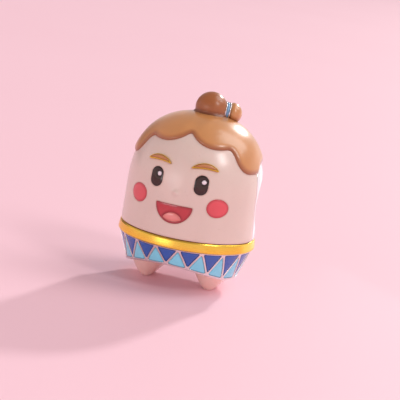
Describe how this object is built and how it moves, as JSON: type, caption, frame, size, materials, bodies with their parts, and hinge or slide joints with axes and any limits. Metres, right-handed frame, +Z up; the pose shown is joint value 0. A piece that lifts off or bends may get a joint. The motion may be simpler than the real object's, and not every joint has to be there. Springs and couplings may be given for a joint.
{
  "type": "bead charm",
  "caption": "Plump figure-shaped bead charm in enamelled silver with a gold-plated belt, bored from side to side for a bracelet.",
  "frame": {"origin": "on the body's axis at the level of the soles that the bead stands on", "axes": "+Z up along the body's axis, the face looks toward -Y, the bracelet's hole runs along X"},
  "size_m": [0.0108, 0.0108, 0.0152],
  "materials": {
    "silver": "cast and polished silver",
    "gold_plate": "bright yellow gold plating, lightly brushed",
    "skin_enamel": "glossy opaque enamel, pale pinkish beige",
    "hair_enamel": "glossy opaque enamel, warm brown",
    "brow_enamel": "glossy opaque enamel, dark brown",
    "eye_enamel": "glossy opaque enamel, near black brown",
    "white_enamel": "glossy opaque enamel, white",
    "coral_enamel": "glossy opaque enamel, coral",
    "red_enamel": "glossy opaque enamel, red",
    "pink_enamel": "glossy opaque enamel, pink",
    "dark_blue_enamel": "glossy opaque enamel, deep blue",
    "pale_blue_enamel": "glossy opaque enamel, pale blue"
  },
  "bodies": {
    "root": {"silver_core": "silver", "face_enamel": "skin_enamel", "back_enamel": "skin_enamel", "hair_cap": "hair_enamel", "knot": "hair_enamel", "knot_tie": "pale_blue_enamel", "knot_tail": "hair_enamel", "mouth": "red_enamel", "tongue": "pink_enamel", "gold_belt": "gold_plate", "brow_left": "brow_enamel", "brow_right": "brow_enamel", "eye_left": "eye_enamel", "eye_right": "eye_enamel", "glint_left": "white_enamel", "glint_right": "white_enamel", "cheek_left": "coral_enamel", "cheek_right": "coral_enamel", "foot_left": "skin_enamel", "foot_right": "skin_enamel", "cell_dark_0": "dark_blue_enamel", "cell_pale_0": "pale_blue_enamel", "cell_dark_1": "dark_blue_enamel", "cell_pale_1": "pale_blue_enamel", "cell_dark_2": "dark_blue_enamel", "cell_pale_2": "pale_blue_enamel", "cell_dark_3": "dark_blue_enamel", "cell_pale_3": "pale_blue_enamel", "cell_dark_4": "dark_blue_enamel", "cell_pale_4": "pale_blue_enamel", "cell_dark_5": "dark_blue_enamel", "cell_pale_5": "pale_blue_enamel", "cell_dark_6": "dark_blue_enamel", "cell_pale_6": "pale_blue_enamel", "cell_dark_7": "dark_blue_enamel", "cell_pale_7": "pale_blue_enamel", "cell_dark_8": "dark_blue_enamel", "cell_pale_8": "pale_blue_enamel", "cell_dark_9": "dark_blue_enamel", "cell_pale_9": "pale_blue_enamel", "cell_dark_10": "dark_blue_enamel", "cell_pale_10": "pale_blue_enamel", "cell_dark_11": "dark_blue_enamel", "cell_pale_11": "pale_blue_enamel", "cell_dark_12": "dark_blue_enamel", "cell_pale_12": "pale_blue_enamel", "cell_dark_13": "dark_blue_enamel", "cell_pale_13": "pale_blue_enamel", "cell_dark_14": "dark_blue_enamel", "cell_pale_14": "pale_blue_enamel", "cell_dark_15": "dark_blue_enamel", "cell_pale_15": "pale_blue_enamel", "cell_dark_16": "dark_blue_enamel", "cell_pale_16": "pale_blue_enamel", "cell_dark_17": "dark_blue_enamel", "cell_pale_17": "pale_blue_enamel"}
  },
  "joints": []
}
